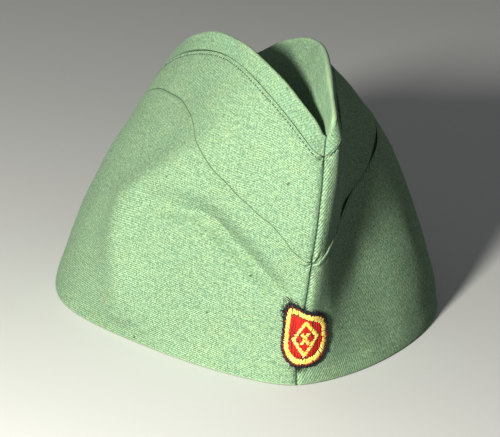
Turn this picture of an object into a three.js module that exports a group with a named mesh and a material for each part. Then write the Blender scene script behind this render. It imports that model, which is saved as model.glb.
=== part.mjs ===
// Garrison cap of wool twill, opened as it is worn and standing on its rim.
// Millimetres. +Z up, the front of the cap towards -Y, the wearer's left towards +X.
// The origin is the middle of the rim's box, on the plane that the rim rests on.

import * as THREE from 'three';
import { mergeVertices } from 'three/addons/utils/BufferGeometryUtils.js';

// Cloth and seams
const CLOTH = 1.1;             // one layer of twill
const LAYER_GAP = 0.3;         // air between the crown and the curtain that lies on it
const SEAM_GAP = 0.3;          // between two pieces that a seam joins
const STRIP_WIDTH = 8.4;       // strip of the top piece outside each ridge, down to its seam
const FOLD_RADIUS = 1.25;      // the ridge is a fold of this outer radius
const FOLD_DEPTH = 1.6;        // extra depth of cloth under the pinched bottom of the top fold

// Cockade: a padded oval patch over the front seam
const COCKADE_WIDTH = 21.5;
const COCKADE_HEIGHT = 27.5;
const COCKADE_MIDDLE = 0.225;  // share of the way from the rim to the ridge seam
const COCKADE_THICKNESS = 1.1; // at its edge
const COCKADE_CROWN = 0.6;     // how much thicker it is in the middle
const COCKADE_SQUARENESS = 2.6; // exponent of its oval outline, 2 is an ellipse

// Faces
const STEPS_PER_SECTION = 6;
const CURTAIN_ROWS = 5;        // from the rim to the curtain's edge
const UPPER_ROWS = 4;          // from there to the ridge seam
const STRIP_ROWS = 2;
const FOLD_ROWS = 4;           // round the ridge's fold
const VALLEY_ROWS = 4;         // down the inside of the top fold
const COCKADE_RINGS = 4;
const COCKADE_SIDES = 28;

// Sections through the cap, one row each, round it from the front seam over the wearer's right
// side to the rear seam and back over the left. rimX, rimY: the bottom edge. ridgeX, ridgeY,
// ridgeZ: the top of the ridge. seamOut: how far the ridge seam lies outside the ridge.
// lowBulge, highBulge: how far the side stands out of the straight line from rim to seam, at a
// third and two thirds of the way. curtain: the curtain's edge, as a share of that way.
const COLUMNS = [
  'rimX', 'rimY', 'ridgeX', 'ridgeY', 'ridgeZ', 'seamOut', 'lowBulge', 'highBulge', 'curtain',
];
const SECTIONS = [
  [-16.5, -102.5, -3.0, -81.5, 104.0, 3.0, -5.0, 3.0, 0.535],
  [-32.0, -94.0, -6.0, -78.0, 108.0, 5.0, -3.5, 2.5, 0.58],
  [-51.5, -72.5, -9.5, -66.5, 114.5, 5.0, -0.5, 3.0, 0.64],
  [-72.0, -39.0, -16.5, -43.5, 124.0, 3.0, 3.5, 6.0, 0.71],
  [-85.5, -0.5, -22.0, -8.5, 126.0, 2.0, 3.5, 4.0, 0.81],
  [-74.5, 39.5, -22.5, 37.0, 106.0, 4.5, 3.0, 3.5, 0.86],
  [-43.0, 83.0, -16.0, 80.0, 73.0, 3.5, 1.0, 0.5, 0.88],
  [5.0, 102.5, -4.0, 98.0, 63.0, 2.5, -1.0, 0.0, 0.88],
  [51.0, 77.0, 10.0, 80.0, 72.0, 3.0, 2.0, 2.5, 0.88],
  [80.5, 22.0, 20.5, 37.0, 101.5, 3.5, 5.0, 8.0, 0.86],
  [84.5, -28.0, 21.5, -9.5, 121.5, 3.0, 6.0, 10.5, 0.81],
  [63.5, -63.5, 13.0, -45.0, 124.0, 2.5, 2.0, 5.5, 0.71],
  [31.5, -88.0, 5.0, -69.5, 117.0, 2.5, -4.5, -3.5, 0.64],
  [4.0, -100.0, 1.0, -81.0, 111.0, 3.0, -4.5, -0.5, 0.58],
];

// The bottom of the top fold, from its front end to its rear end, one row for each pair of
// sections that face each other.
const VALLEY_COLUMNS = ['x', 'y', 'z'];
const VALLEY = [
  [-3.0, -75.0, 95.0],
  [-3.0, -72.0, 93.0],
  [-2.5, -63.0, 90.0],
  [-2.0, -43.0, 89.0],
  [-1.0, -9.0, 89.0],
  [-1.5, 37.0, 78.0],
  [-3.0, 77.0, 58.0],
  [-4.0, 91.0, 54.0],
];

const SECTION_COUNT = SECTIONS.length;
const REAR = SECTION_COUNT / 2;
const COLUMN_COUNT = SECTION_COUNT * STEPS_PER_SECTION;
const SMALL_STEP = 1e-3;       // for slopes by difference, in sections
const AT_SEAM = 0.99;          // a height past this lies at the ridge seam

// Slopes of the smooth closed curve through evenly numbered values. Each slope depends on its
// neighbours, so they are worked out by repeated rounds that settle quickly.
function closedSlopes(values) {
  const count = values.length;
  const rounds = 40;
  let slopes = values.map(() => 0);
  for (let round = 0; round < rounds; round += 1) {
    slopes = values.map((_, i) => {
      const next = (i + 1) % count;
      const last = (i + count - 1) % count;
      return (3 * (values[next] - values[last]) - slopes[next] - slopes[last]) / 4;
    });
  }
  return slopes;
}

// Value at place u, counted in sections, of the closed curve through the values.
function closedValue(values, slopes, u) {
  const count = values.length;
  const turned = ((u % count) + count) % count;
  const i = Math.floor(turned);
  const j = (i + 1) % count;
  const f = turned - i;
  const f2 = f * f;
  const f3 = f2 * f;
  return values[i] * (2 * f3 - 3 * f2 + 1) + slopes[i] * (f3 - 2 * f2 + f)
    + values[j] * (3 * f2 - 2 * f3) + slopes[j] * (f3 - f2);
}

const COLUMN_CURVES = Object.fromEntries(COLUMNS.map((name, column) => {
  const values = SECTIONS.map((row) => row[column]);
  return [name, { values, slopes: closedSlopes(values) }];
}));

// The valley's table runs front to rear, so its closed curve goes there and back.
const VALLEY_CURVES = Object.fromEntries(VALLEY_COLUMNS.map((name, column) => {
  const there = VALLEY.map((row) => row[column]);
  const back = there.slice(1, -1).reverse();
  const values = [...there, ...back];
  return [name, { values, slopes: closedSlopes(values) }];
}));

function sectionValue(name, u) {
  return closedValue(COLUMN_CURVES[name].values, COLUMN_CURVES[name].slopes, u);
}

// Level unit vector that points out of a closed curve seen from above, at place u.
function levelOutward(xName, yName, u) {
  const dx = sectionValue(xName, u + SMALL_STEP) - sectionValue(xName, u - SMALL_STEP);
  const dy = sectionValue(yName, u + SMALL_STEP) - sectionValue(yName, u - SMALL_STEP);
  return new THREE.Vector3(-dy, dx, 0).normalize();
}

function ridgePoint(u) {
  return new THREE.Vector3(
    sectionValue('ridgeX', u), sectionValue('ridgeY', u), sectionValue('ridgeZ', u),
  );
}

// Point on the strip beside the ridge: `down` is 0 at the ridge and 1 at the seam.
function stripPoint(u, down) {
  const out = sectionValue('seamOut', u);
  const drop = Math.sqrt(STRIP_WIDTH ** 2 - out ** 2);
  return ridgePoint(u)
    .addScaledVector(levelOutward('ridgeX', 'ridgeY', u), out * down)
    .add(new THREE.Vector3(0, 0, -drop * down));
}

// Point on the outer face of the cap's side at place u: v is 0 at the rim and 1 at the seam.
function sidePoint(u, v) {
  const rim = new THREE.Vector3(sectionValue('rimX', u), sectionValue('rimY', u), 0);
  const lowShare = 27 / 4 * v * (1 - v) ** 2;
  const highShare = 27 / 4 * v ** 2 * (1 - v);
  const bulge = sectionValue('lowBulge', u) * lowShare + sectionValue('highBulge', u) * highShare;
  return rim.lerp(stripPoint(u, 1), v)
    .addScaledVector(levelOutward('rimX', 'rimY', u), bulge);
}

function alongRim(u, v) {
  return sidePoint(u + SMALL_STEP, v).sub(sidePoint(u - SMALL_STEP, v)).normalize();
}

// Unit vector out of the strip beside the ridge.
function stripOutward(u) {
  const out = sectionValue('seamOut', u);
  const drop = Math.sqrt(STRIP_WIDTH ** 2 - out ** 2);
  return levelOutward('ridgeX', 'ridgeY', u).multiplyScalar(drop)
    .add(new THREE.Vector3(0, 0, out)).normalize();
}

// Unit vector out of the side. At the rim it is level, so that the rim's edge stays flat, and
// at the ridge seam it halves the corner, so that the two edges there stay parallel.
function sideOutward(u, v) {
  const up = sidePoint(u, v + SMALL_STEP).sub(sidePoint(u, v - SMALL_STEP));
  const outward = up.cross(alongRim(u, v)).normalize();
  if (v === 0) outward.z = 0;
  if (v > AT_SEAM) outward.add(stripOutward(u));
  return outward.normalize();
}

// One closed body from a face on the outside and the same grid of points on the inside. Each
// face is rows of points. wrap joins the last point of each row to the first.
function slab(outside, inside, wrap) {
  const positions = [];
  const addTriangle = (a, b, c) => {
    if (a.distanceToSquared(b) === 0 || b.distanceToSquared(c) === 0
      || c.distanceToSquared(a) === 0) return;
    positions.push(...a, ...b, ...c);
  };
  const addQuad = (a, b, c, d) => {
    addTriangle(a, b, c);
    addTriangle(a, c, d);
  };
  const rows = outside.length;
  const points = outside[0].length;
  const columns = wrap ? points : points - 1;
  for (let r = 0; r < rows - 1; r += 1) {
    for (let k = 0; k < columns; k += 1) {
      const n = (k + 1) % points;
      addQuad(outside[r][k], outside[r + 1][k], outside[r + 1][n], outside[r][n]);
      addQuad(inside[r][k], inside[r][n], inside[r + 1][n], inside[r + 1][k]);
    }
  }
  for (let k = 0; k < columns; k += 1) {
    const n = (k + 1) % points;
    addQuad(outside[0][k], outside[0][n], inside[0][n], inside[0][k]);
    const top = rows - 1;
    if (!isPinched(outside[top])) {
      addQuad(outside[top][n], outside[top][k], inside[top][k], inside[top][n]);
    }
  }
  if (!wrap) {
    for (let r = 0; r < rows - 1; r += 1) {
      const end = points - 1;
      addQuad(outside[r + 1][0], outside[r][0], inside[r][0], inside[r + 1][0]);
      addQuad(outside[r][end], outside[r + 1][end], inside[r + 1][end], inside[r][end]);
    }
  }
  const geometry = new THREE.BufferGeometry();
  geometry.setAttribute('position', new THREE.Float32BufferAttribute(positions, 3));
  const merged = mergeVertices(geometry, 1e-4);
  merged.computeVertexNormals();
  return merged;
}

// True when a closed row has its two halves on each other, as at the bottom of the top fold,
// or is one point, as in the middle of the cockade.
function isPinched(row) {
  const facing = row[row.length - 1];
  return row.length > 2 && facing.distanceTo(row[1]) < 1e-6;
}

// Row heights shared by the curtain and the side panel under it, so that they stay parallel.
function curtainHeight(u, row) {
  return sectionValue('curtain', u) * row / CURTAIN_ROWS;
}

// A grid on the side from seam to seam. heightAt gives v for a row, and depthAt how far the
// point lies inside the outer face.
function sideGrid(firstSection, rowCount, heightAt, depthAt) {
  const steps = REAR * STEPS_PER_SECTION;
  const grid = [];
  for (let row = 0; row <= rowCount; row += 1) {
    const line = [];
    for (let k = 0; k <= steps; k += 1) {
      const u = firstSection + k / STEPS_PER_SECTION;
      const v = heightAt(u, row);
      const point = sidePoint(u, v);
      if (k === 0) point.addScaledVector(alongRim(u, v), SEAM_GAP / 2);
      if (k === steps) point.addScaledVector(alongRim(u, v), -SEAM_GAP / 2);
      point.addScaledVector(sideOutward(u, v), -depthAt(row));
      line.push(point);
    }
    grid.push(line);
  }
  return grid;
}

function curtain(firstSection) {
  const outside = sideGrid(firstSection, CURTAIN_ROWS, curtainHeight, () => 0);
  const inside = sideGrid(firstSection, CURTAIN_ROWS, curtainHeight, () => CLOTH);
  return slab(outside, inside, false);
}

// The crown's side lies under the curtain, and comes out to the cap's face above it.
function sidePanel(firstSection) {
  const rowCount = CURTAIN_ROWS + UPPER_ROWS;
  const heightAt = (u, row) => {
    if (row <= CURTAIN_ROWS) return curtainHeight(u, row);
    const edge = sectionValue('curtain', u);
    const length = sidePoint(u, 0).distanceTo(sidePoint(u, 1));
    const top = 1 - SEAM_GAP / 2 / length;
    return edge + (top - edge) * (row - CURTAIN_ROWS) / UPPER_ROWS;
  };
  const underCurtain = CLOTH + LAYER_GAP;
  const depthAt = (row) => {
    const above = Math.max(row - CURTAIN_ROWS, 0) / UPPER_ROWS;
    return underCurtain * (1 - above) ** 2;
  };
  const outside = sideGrid(firstSection, rowCount, heightAt, depthAt);
  const inside = sideGrid(firstSection, rowCount, heightAt, (row) => depthAt(row) + CLOTH);
  return slab(outside, inside, false);
}

// One line down the top piece at place u: from the ridge seam up the strip, over the ridge's
// fold and down the inside to the bottom of the top fold. depth is 0 for the face that shows
// and CLOTH for the hidden one.
function topLine(u, depth) {
  const line = [];
  const outward = levelOutward('ridgeX', 'ridgeY', u);
  const up = new THREE.Vector3(0, 0, 1);
  const foldShare = FOLD_RADIUS / STRIP_WIDTH;
  const seamShare = 1 - SEAM_GAP / (2 * STRIP_WIDTH);
  for (let row = 0; row < STRIP_ROWS; row += 1) {
    const down = seamShare + (foldShare - seamShare) * row / STRIP_ROWS;
    const through = row === 0 ? sideOutward(u, 1) : stripOutward(u);
    line.push(stripPoint(u, down).addScaledVector(through, -depth));
  }
  const middle = stripPoint(u, foldShare).addScaledVector(outward, -FOLD_RADIUS);
  const radius = FOLD_RADIUS - depth;
  for (let row = 0; row <= FOLD_ROWS; row += 1) {
    const turn = Math.PI * row / FOLD_ROWS;
    const point = middle.clone()
      .addScaledVector(outward, radius * Math.cos(turn))
      .addScaledVector(up, radius * Math.sin(turn));
    line.push(point);
  }
  const bottom = new THREE.Vector3(...VALLEY_COLUMNS.map((name) => (
    closedValue(VALLEY_CURVES[name].values, VALLEY_CURVES[name].slopes, u)
  )));
  const foldEnd = line[line.length - 1];
  bottom.z -= depth / CLOTH * FOLD_DEPTH;
  for (let row = 1; row <= VALLEY_ROWS; row += 1) {
    line.push(foldEnd.clone().lerp(bottom, row / VALLEY_ROWS));
  }
  return line;
}

function crownTop() {
  const face = (depth) => {
    const lines = [];
    for (let k = 0; k < COLUMN_COUNT; k += 1) {
      lines.push(topLine(k / STEPS_PER_SECTION, depth));
    }
    return lines[0].map((_, row) => lines.map((line) => line[row]));
  };
  return slab(face(0), face(CLOTH), true);
}

// The cockade's rings run from its edge to its middle, on the face of the curtain.
function cockade() {
  const across = sidePoint(-0.5, COCKADE_MIDDLE).distanceTo(sidePoint(0.5, COCKADE_MIDDLE));
  const upward = sidePoint(0, 0).distanceTo(sidePoint(0, 1));
  const face = (isOutside) => {
    const rings = [];
    for (let ring = 0; ring <= COCKADE_RINGS; ring += 1) {
      const size = 1 - ring / COCKADE_RINGS;
      const points = [];
      for (let side = 0; side < COCKADE_SIDES; side += 1) {
        const angle = 2 * Math.PI * side / COCKADE_SIDES;
        const reach = (Math.abs(Math.cos(angle)) ** COCKADE_SQUARENESS
          + Math.abs(Math.sin(angle)) ** COCKADE_SQUARENESS) ** (-1 / COCKADE_SQUARENESS);
        const u = size * reach * Math.cos(angle) * COCKADE_WIDTH / 2 / across;
        const v = COCKADE_MIDDLE
          + size * reach * Math.sin(angle) * COCKADE_HEIGHT / 2 / upward;
        const thickness = isOutside
          ? COCKADE_THICKNESS + COCKADE_CROWN * (1 - size ** 2) : 0;
        points.push(sidePoint(u, v)
          .addScaledVector(sideOutward(u, v), LAYER_GAP + thickness));
      }
      rings.push(points);
    }
    return rings;
  };
  return slab(face(true), face(false), true);
}

const TWILL = { color: 0x8aa586, roughness: 0.95, metalness: 0 };
const TWILL_INSIDE = { color: 0x839d80, roughness: 0.95, metalness: 0 };
const EMBROIDERY = { color: 0xc8301e, roughness: 0.6, metalness: 0 };

function piece(name, geometry, finish) {
  const mesh = new THREE.Mesh(geometry, new THREE.MeshStandardMaterial(finish));
  mesh.name = name;
  return mesh;
}

const cap = new THREE.Group();
cap.name = 'garrison_cap';
cap.add(
  piece('side_panel_right', sidePanel(0), TWILL_INSIDE),
  piece('side_panel_left', sidePanel(REAR), TWILL_INSIDE),
  piece('crown_top', crownTop(), TWILL),
  piece('curtain_right', curtain(0), TWILL),
  piece('curtain_left', curtain(REAR), TWILL),
  piece('cockade', cockade(), EMBROIDERY),
);

export default cap;
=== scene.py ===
"""Looks of a garrison cap: sage green wool twill with a deep top fold, a turned-up curtain and a small
embroidered cockade.

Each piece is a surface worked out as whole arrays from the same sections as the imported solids. Lengths in
this script are millimetres, and a mesh goes into Blender in metres. +Z is up, the front of the cap is
towards -Y and the wearer's left towards +X. A place on the side of the cap is u, counted in sections round
it, and v, which is 0 at the rim and 1 at the ridge seam.
"""

import logging
import math
from dataclasses import dataclass, field
from enum import Enum

import bpy
import numpy as np
from mathutils import Matrix, Vector

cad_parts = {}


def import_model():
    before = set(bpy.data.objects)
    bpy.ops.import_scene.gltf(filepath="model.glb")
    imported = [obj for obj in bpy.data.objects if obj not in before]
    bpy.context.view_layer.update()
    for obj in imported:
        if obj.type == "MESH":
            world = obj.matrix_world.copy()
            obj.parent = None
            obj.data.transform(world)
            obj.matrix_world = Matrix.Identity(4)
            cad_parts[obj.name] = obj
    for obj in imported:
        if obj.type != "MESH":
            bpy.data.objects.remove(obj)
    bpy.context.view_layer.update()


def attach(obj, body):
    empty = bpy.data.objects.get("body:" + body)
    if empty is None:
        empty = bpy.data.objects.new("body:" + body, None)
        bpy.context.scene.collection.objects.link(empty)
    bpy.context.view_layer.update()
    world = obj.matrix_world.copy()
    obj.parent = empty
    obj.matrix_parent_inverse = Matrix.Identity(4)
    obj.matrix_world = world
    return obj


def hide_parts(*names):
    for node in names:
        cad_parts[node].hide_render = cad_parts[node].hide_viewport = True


log = logging.getLogger("garrison_cap")

MM = 0.001
BODY = "root"
SEED = 7

# Sections round the cap, from the front seam over the wearer's right side to the rear seam and back over the
# left, as the solids have them.
COLUMNS = ("rim_x", "rim_y", "ridge_x", "ridge_y", "ridge_z", "seam_out", "low_bulge", "high_bulge",
           "curtain")
SECTIONS = np.array([
    [-16.5, -102.5, -3.0, -81.5, 104.0, 3.0, -5.0, 3.0, 0.535],
    [-32.0, -94.0, -6.0, -78.0, 108.0, 5.0, -3.5, 2.5, 0.58],
    [-51.5, -72.5, -9.5, -66.5, 114.5, 5.0, -0.5, 3.0, 0.64],
    [-72.0, -39.0, -16.5, -43.5, 124.0, 3.0, 3.5, 6.0, 0.71],
    [-85.5, -0.5, -22.0, -8.5, 126.0, 2.0, 3.5, 4.0, 0.81],
    [-74.5, 39.5, -22.5, 37.0, 106.0, 4.5, 3.0, 3.5, 0.86],
    [-43.0, 83.0, -16.0, 80.0, 73.0, 3.5, 1.0, 0.5, 0.88],
    [5.0, 102.5, -4.0, 98.0, 63.0, 2.5, -1.0, 0.0, 0.88],
    [51.0, 77.0, 10.0, 80.0, 72.0, 3.0, 2.0, 2.5, 0.88],
    [80.5, 22.0, 20.5, 37.0, 101.5, 3.5, 5.0, 8.0, 0.86],
    [84.5, -28.0, 21.5, -9.5, 121.5, 3.0, 6.0, 10.5, 0.81],
    [63.5, -63.5, 13.0, -45.0, 124.0, 2.5, 2.0, 5.5, 0.71],
    [31.5, -88.0, 5.0, -69.5, 117.0, 2.5, -4.5, -3.5, 0.64],
    [4.0, -100.0, 1.0, -81.0, 111.0, 3.0, -4.5, -0.5, 0.58],
])
# The bottom of the top fold, from its front end to its rear end: x, y, z.
VALLEY = np.array([
    [-3.0, -75.0, 95.0],
    [-3.0, -72.0, 93.0],
    [-2.5, -63.0, 90.0],
    [-2.0, -43.0, 89.0],
    [-1.0, -9.0, 89.0],
    [-1.5, 37.0, 78.0],
    [-3.0, 77.0, 58.0],
    [-4.0, 91.0, 54.0],
])
SECTION_COUNT = len(SECTIONS)
HALF_COUNT = SECTION_COUNT // 2
SMALL_STEP = 1e-3

# Cloth and seams
CLOTH = 1.1
LAYER_GAP = 0.3
STRIP_WIDTH = 8.4
FOLD_RADIUS = 1.25
FOLD_DEPTH = 1.6
LIP_GAP = 0.04          # between the two rounded lips of a sewn seam
STITCH_DROP = 1.6       # of the topstitching below the ridge seam
STITCH_PITCH = 2.0
NAP = 0.035             # how unevenly the napped cloth stands, from point to point
BACK_SHIFT = 0.7        # of the cloth's pattern from a wall's outer face to its inner one

# How surfaces are worked out
HUMP = 27 / 4           # brings the peak of v (1 - v)^2 to 1
DENSE = 3000            # points of a line along which lengths are measured
STRAND_SIDES = 6        # corners round a strand of thread


class Half(Enum):
    """The two halves of the cap, each with the section that it starts at."""

    RIGHT = 0
    LEFT = HALF_COUNT

    @property
    def side(self) -> str:
        """The half's name as it stands in the names of pieces."""
        return self.name.lower()


def unit(vectors: np.ndarray) -> np.ndarray:
    """The vectors at length 1."""
    return vectors / np.maximum(np.linalg.norm(vectors, axis=-1, keepdims=True), 1e-12)


def smooth(low: float, high: float, x: np.ndarray) -> np.ndarray:
    """Smooth step: 0 below low, 1 above high, and 3t^2 - 2t^3 between."""
    t = np.clip((x - low) / (high - low), 0.0, 1.0)
    return t * t * (3.0 - 2.0 * t)


def bell(x: np.ndarray, width: float) -> np.ndarray:
    """Bell curve of height 1 that falls to 1/e at width from its middle."""
    return np.exp(-((x / width) ** 2))


def sway(x: np.ndarray, *waves: tuple[float, float, float]) -> np.ndarray:
    """Sum of sine waves, each given by its height, the length of one radian and its start in radians."""
    return sum(height * np.sin(x / radian + start) for height, radian, start in waves)


def upright(lengths: np.ndarray) -> np.ndarray:
    """Vectors of the given lengths that point straight up."""
    return np.stack([np.zeros_like(lengths), np.zeros_like(lengths), lengths], axis=-1)


def round_from(place: float, u: np.ndarray) -> np.ndarray:
    """How far the places u lie from one place, the short way round the cap."""
    return np.mod(u - place + HALF_COUNT, SECTION_COUNT) - HALF_COUNT


def pick(rows: np.ndarray, *names: str) -> np.ndarray:
    """The named columns of rows along the sections."""
    return rows[..., [COLUMNS.index(name) for name in names]]


def rounded(distance: np.ndarray, radius: float) -> np.ndarray:
    """How far a face has sunk where it rounds over an edge: a quarter circle, radius at the edge and 0 from
    one radius away from it."""
    inside = np.clip(radius - distance, 0.0, radius)
    return radius - np.sqrt(radius**2 - inside**2)


def rolled(distance: np.ndarray, reach: float, depth: float) -> np.ndarray:
    """How far a face has sunk where it rolls into a seam: depth times (1 - distance / reach)^2, and 0 from
    reach away from it."""
    return depth * np.clip(1.0 - distance / reach, 0.0, 1.0) ** 2


def graded(length: float, fine: float, coarse: float, reach: float, both_ends: bool = True) -> np.ndarray:
    """Positions from 0 to length that lie close together at the ends.

    The step is coarse - (coarse - fine) * exp(-distance to the end / reach), and the positions are those at
    which the running sum of 1 / step passes whole numbers.

    Args:
        length: the whole length.
        fine: the step at an end.
        coarse: the step far from the ends.
        reach: how far the fine steps reach.
        both_ends: whether the far end has fine steps too.

    Returns:
        The positions, rising from 0 to length.
    """
    dense = np.linspace(0.0, length, 2 * DENSE)
    near = np.minimum(dense, length - dense) if both_ends else dense
    step = coarse - (coarse - fine) * np.exp(-near / reach)
    passed = np.concatenate([[0.0], np.cumsum(np.diff(dense) / step[1:])])
    count = max(2, math.ceil(passed[-1]))
    return np.interp(np.linspace(0.0, passed[-1], count + 1), passed, dense)


def run_length(points: np.ndarray, axis: int) -> np.ndarray:
    """Length of the path through a grid's points along one axis, from its first point to each."""
    steps = np.linalg.norm(np.diff(points, axis=axis), axis=-1)
    start = np.zeros_like(np.take(steps, [0], axis=axis))
    return np.concatenate([start, np.cumsum(steps, axis=axis)], axis=axis)


class ClosedCurve:
    """Smooth closed curve through evenly numbered rows of values: cubic pieces whose slopes m satisfy
    m[i-1] + 4 m[i] + m[i+1] = 3 (p[i+1] - p[i-1])."""

    def __init__(self, values: np.ndarray) -> None:
        """Works out the slopes of the curve through values, one row for each whole number."""
        count = len(values)
        one = np.eye(count)
        system = 4 * one + np.roll(one, 1, axis=0) + np.roll(one, -1, axis=0)
        rise = 3 * (np.roll(values, -1, axis=0) - np.roll(values, 1, axis=0))
        self.values = values
        self.slopes = np.linalg.solve(system, rise)

    def at(self, place: np.ndarray) -> np.ndarray:
        """Values at the places, with the table's columns along a new last axis."""
        count = len(self.values)
        turned = np.mod(place, count)
        row = np.floor(turned).astype(int) % count
        after = (row + 1) % count
        f = (turned - np.floor(turned))[..., None]
        f2, f3 = f**2, f**3
        return (self.values[row] * (2 * f3 - 3 * f2 + 1) + self.slopes[row] * (f3 - 2 * f2 + f)
                + self.values[after] * (3 * f2 - 2 * f3) + self.slopes[after] * (f3 - f2))


@dataclass(frozen=True)
class Crease:
    """A soft line pressed into the side: places (u, v) along it, its depth, which is negative where it
    stands out, and its width."""

    places: tuple[tuple[float, float], ...]
    depth: float
    width: float


@dataclass(frozen=True)
class Swell:
    """A broad hump, or dent if its height is negative: its middle (u, v), its reach in u and v, and its
    height."""

    u: float
    v: float
    reach_u: float
    reach_v: float
    height: float


@dataclass
class CapForm:
    """The shape of the cap: where its rim, side, ridges and top fold lie, and the soft forms that both
    layers of cloth follow."""

    creases: tuple[Crease, ...]
    swells: tuple[Swell, ...]
    crease_ends: float = 0.6     # power of the sine by which a crease fades out to its ends
    wave_count: int = 24
    wave_pitch: tuple[float, float] = (16.0, 46.0)
    wave_share: float = 0.0016   # of its pitch that a wave stands out
    wave_lean: tuple[float, float] = (0.35, 0.6)     # how y counts in the two directions of the waves
    rim_fade: float = 0.08       # height v over which the soft forms fade out
    turn_in: float = 0.03        # height v over which outwards turns at the rim and at the ridge seam

    def __post_init__(self) -> None:
        """Keeps the curves through the sections, and draws the turns, phases and pitches of the waves."""
        self.sections = ClosedCurve(SECTIONS)
        self.valley = ClosedCurve(np.vstack([VALLEY, VALLEY[-2:0:-1]]))
        random = np.random.default_rng(SEED)
        turns = random.uniform(0.0, 2 * math.pi, self.wave_count)
        phases = random.uniform(0.0, 2 * math.pi, self.wave_count)
        pitches = random.uniform(*self.wave_pitch, self.wave_count)
        self.waves = list(zip(turns, phases, pitches))

    def value(self, name: str, u: np.ndarray) -> np.ndarray:
        """One named column of the sections at the places u."""
        return pick(self.sections.at(u), name)[..., 0]

    def level_outward(self, x_name: str, y_name: str, u: np.ndarray) -> np.ndarray:
        """Level unit vectors out of a closed curve seen from above: its tangent turned by a quarter."""
        along = pick(self.sections.at(u + SMALL_STEP) - self.sections.at(u - SMALL_STEP), x_name, y_name)
        return unit(np.stack([-along[..., 1], along[..., 0], np.zeros_like(along[..., 0])], axis=-1))

    def ridge(self, u: np.ndarray) -> np.ndarray:
        """Points on the top of the ridges."""
        return pick(self.sections.at(u), "ridge_x", "ridge_y", "ridge_z")

    def strip(self, u: np.ndarray, down: np.ndarray) -> np.ndarray:
        """Points on the strip beside a ridge: a straight line that goes out by seam_out and down by the rest
        of the strip's width, with down 0 at the ridge and 1 at the seam."""
        u, down = np.broadcast_arrays(u, down)
        out = self.value("seam_out", u)
        drop = np.sqrt(STRIP_WIDTH**2 - out**2)
        outward = self.level_outward("ridge_x", "ridge_y", u)
        return self.ridge(u) + outward * (out * down)[..., None] - upright(drop * down)

    def strip_outward(self, u: np.ndarray) -> np.ndarray:
        """Unit vectors out of the strip beside a ridge."""
        out = self.value("seam_out", u)
        drop = np.sqrt(STRIP_WIDTH**2 - out**2)
        return unit(self.level_outward("ridge_x", "ridge_y", u) * drop[..., None] + upright(out))

    def side(self, u: np.ndarray, v: np.ndarray) -> np.ndarray:
        """Points on the outer face: the straight line from the rim to the ridge seam, stood out by two humps
        that peak at a third and two thirds of the way, v (1 - v)^2 and v^2 (1 - v)."""
        u, v = np.broadcast_arrays(u, v)
        named = pick(self.sections.at(u), "rim_x", "rim_y", "low_bulge", "high_bulge")
        rim_x, rim_y, low, high = np.moveaxis(named, -1, 0)
        rim = np.stack([rim_x, rim_y, np.zeros_like(v)], axis=-1)
        hump = HUMP * (low * v * (1 - v) ** 2 + high * v**2 * (1 - v))
        seam = self.strip(u, np.ones_like(v))
        outward = self.level_outward("rim_x", "rim_y", u)
        return rim + (seam - rim) * v[..., None] + outward * hump[..., None]

    def outward(self, u: np.ndarray, v: np.ndarray) -> np.ndarray:
        """Unit vectors out of the side: up crossed with along the rim, level at the rim itself, and turned
        half way to the strip's at the ridge seam."""
        u, v = np.broadcast_arrays(u, v)
        up = self.side(u, v + SMALL_STEP) - self.side(u, v - SMALL_STEP)
        along = self.side(u + SMALL_STEP, v) - self.side(u - SMALL_STEP, v)
        out = unit(np.cross(up, along))
        out[..., 2] *= smooth(0.0, self.turn_in, v)
        out = unit(out)
        return unit(out + self.strip_outward(u) * smooth(1.0 - self.turn_in, 1.0, v)[..., None])

    def height(self, u: np.ndarray) -> np.ndarray:
        """Straight length from the rim to the ridge seam."""
        return np.linalg.norm(self.side(u, np.ones_like(u)) - self.side(u, np.zeros_like(u)), axis=-1)

    def softness(self, u: np.ndarray, v: np.ndarray) -> np.ndarray:
        """How far the worn cloth stands out of the plain form: a sum of random cosine waves, the creases as
        bell curves of the distance to their line, and the broad swells. It fades out at the rim."""
        u, v = np.broadcast_arrays(u, v)
        points = self.side(u, v)
        relief = np.zeros_like(v)
        across = points[..., 0] + points[..., 1] * self.wave_lean[0]
        upward = points[..., 2] + points[..., 1] * self.wave_lean[1]
        for turn, phase, pitch in self.waves:
            along = across * math.cos(turn) + upward * math.sin(turn)
            relief += np.cos(2 * math.pi * along / pitch + phase) * pitch * self.wave_share
        for crease in self.creases:
            relief -= crease.depth * self.nearness(points, crease)
        for swell in self.swells:
            away = round_from(swell.u, u)
            relief += swell.height * bell(away, swell.reach_u) * bell(v - swell.v, swell.reach_v)
        return relief * smooth(0.0, self.rim_fade, v)

    def nearness(self, points: np.ndarray, crease: Crease) -> np.ndarray:
        """Bell curve of the distance from the points to the crease's line, fading out to the line's ends."""
        places = np.array(crease.places)
        line = self.side(places[:, 0], places[:, 1])
        best = np.full(points.shape[:-1], np.inf)
        passed = np.zeros(points.shape[:-1])
        for i in range(len(line) - 1):
            run = line[i + 1] - line[i]
            share = np.clip(((points - line[i]) @ run) / (run @ run), 0.0, 1.0)
            away = np.linalg.norm(points - line[i] - share[..., None] * run, axis=-1)
            passed = np.where(away < best, (i + share) / (len(line) - 1), passed)
            best = np.minimum(best, away)
        return bell(best, crease.width) * np.sin(math.pi * passed) ** self.crease_ends


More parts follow.
